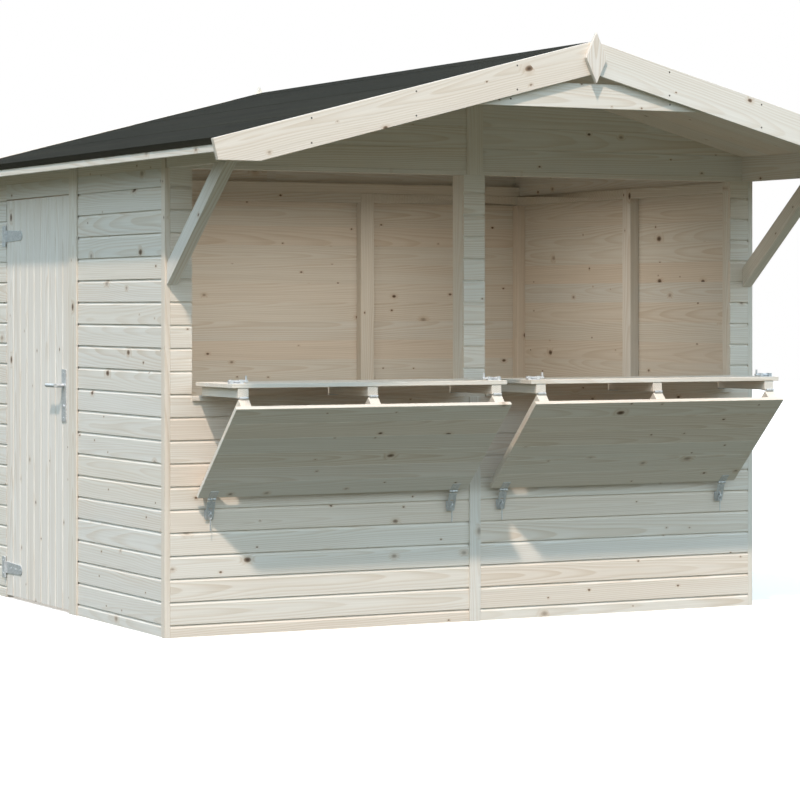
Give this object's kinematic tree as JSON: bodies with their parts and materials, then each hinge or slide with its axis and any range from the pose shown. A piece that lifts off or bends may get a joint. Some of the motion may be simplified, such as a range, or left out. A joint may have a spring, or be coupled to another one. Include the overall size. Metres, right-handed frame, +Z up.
{
  "type": "wooden market stall",
  "caption": "Gable-roofed market stall of clad timber walls with a side door, serving openings and folding counter shutters under a deep front overhang.",
  "frame": {"origin": "ground level under the middle of the roof's outline", "axes": "+X along the serving front to the right, +Y from the serving front to the back, +Z up"},
  "size_m": [3.18, 3.07, 2.3359],
  "materials": {
    "planed_spruce": "planed, untreated",
    "roofing_felt": "mineral-faced bitumen felt",
    "galvanised_steel": "zinc-plated, dull"
  },
  "bodies": {
    "stall": {"back_barge_left": "planed_spruce", "back_barge_right": "planed_spruce", "back_gable": "planed_spruce", "back_wall": "planed_spruce", "braces": "planed_spruce", "collar_board": "planed_spruce", "corner_battens": "planed_spruce", "cover_strips": "planed_spruce", "door_head": "planed_spruce", "door_hinge_plates": "galvanised_steel", "fascias": "planed_spruce", "finials": "planed_spruce", "front_barge_left": "planed_spruce", "front_barge_right": "planed_spruce", "front_gable": "planed_spruce", "front_low_wall_left": "planed_spruce", "front_low_wall_right": "planed_spruce", "front_strips": "planed_spruce", "gable_rails": "planed_spruce", "hasp_staples": "galvanised_steel", "left_wall": "planed_spruce", "right_wall": "planed_spruce", "roof_beams": "planed_spruce", "roof_deck_left": "planed_spruce", "roof_deck_right": "planed_spruce", "roof_felt_left": "roofing_felt", "roof_felt_right": "roofing_felt", "serving_sills": "planed_spruce", "sill_hinges": "galvanised_steel", "staple_plates": "galvanised_steel", "wall_rails": "planed_spruce", "wall_studs": "planed_spruce"},
    "door": {"door_braces": "planed_spruce", "door_handle": "galvanised_steel", "door_leaf": "planed_spruce", "door_ledges": "planed_spruce", "door_straps": "galvanised_steel"},
    "counter_left": {"counter_board_left": "planed_spruce", "counter_battens_left": "planed_spruce", "counter_hinges_left": "galvanised_steel", "counter_bolts_left": "galvanised_steel"},
    "flap_left": {"flap_board_left": "planed_spruce", "flap_battens_left": "planed_spruce", "flap_hinges_left": "galvanised_steel"},
    "hasp_left_outer": {"hasp_left_outer": "galvanised_steel"},
    "hasp_left_inner": {"hasp_left_inner": "galvanised_steel"},
    "counter_right": {"counter_board_right": "planed_spruce", "counter_battens_right": "planed_spruce", "counter_hinges_right": "galvanised_steel", "counter_bolts_right": "galvanised_steel"},
    "flap_right": {"flap_board_right": "planed_spruce", "flap_battens_right": "planed_spruce", "flap_hinges_right": "galvanised_steel"},
    "hasp_right_outer": {"hasp_right_outer": "galvanised_steel"},
    "hasp_right_inner": {"hasp_right_inner": "galvanised_steel"}
  },
  "joints": [
    {"name": "door_swing", "type": "hinge", "parent": "stall", "child": "door", "pos_m": [-1.375, 1.2365, 0.882], "axis": [0, 0, -1], "range_deg": [0, 110]},
    {"name": "counter_left_swing", "type": "hinge", "parent": "stall", "child": "counter_left", "pos_m": [-0.65525, -0.592, 0.942], "axis": [-1, 0, 0], "range_deg": [0, 90]},
    {"name": "flap_left_fold", "type": "hinge", "parent": "counter_left", "child": "flap_left", "pos_m": [-0.65525, -0.94597, 0.942], "axis": [-1, 0, 0], "range_deg": [0, 135.92]},
    {"name": "hasp_left_outer_swing", "type": "hinge", "parent": "flap_left", "child": "hasp_left_outer", "pos_m": [-1.193, -0.60953, 0.53759], "axis": [-1, 0, 0], "range_deg": [0, 150]},
    {"name": "hasp_left_inner_swing", "type": "hinge", "parent": "flap_left", "child": "hasp_left_inner", "pos_m": [-0.1175, -0.60953, 0.53759], "axis": [-1, 0, 0], "range_deg": [0, 150]},
    {"name": "counter_right_swing", "type": "hinge", "parent": "stall", "child": "counter_right", "pos_m": [0.65525, -0.592, 0.942], "axis": [-1, 0, 0], "range_deg": [0, 90]},
    {"name": "flap_right_fold", "type": "hinge", "parent": "counter_right", "child": "flap_right", "pos_m": [0.65525, -0.94597, 0.942], "axis": [-1, 0, 0], "range_deg": [0, 135.92]},
    {"name": "hasp_right_outer_swing", "type": "hinge", "parent": "flap_right", "child": "hasp_right_outer", "pos_m": [1.193, -0.60953, 0.53759], "axis": [-1, 0, 0], "range_deg": [0, 150]},
    {"name": "hasp_right_inner_swing", "type": "hinge", "parent": "flap_right", "child": "hasp_right_inner", "pos_m": [0.1175, -0.60953, 0.53759], "axis": [-1, 0, 0], "range_deg": [0, 150]}
  ]
}
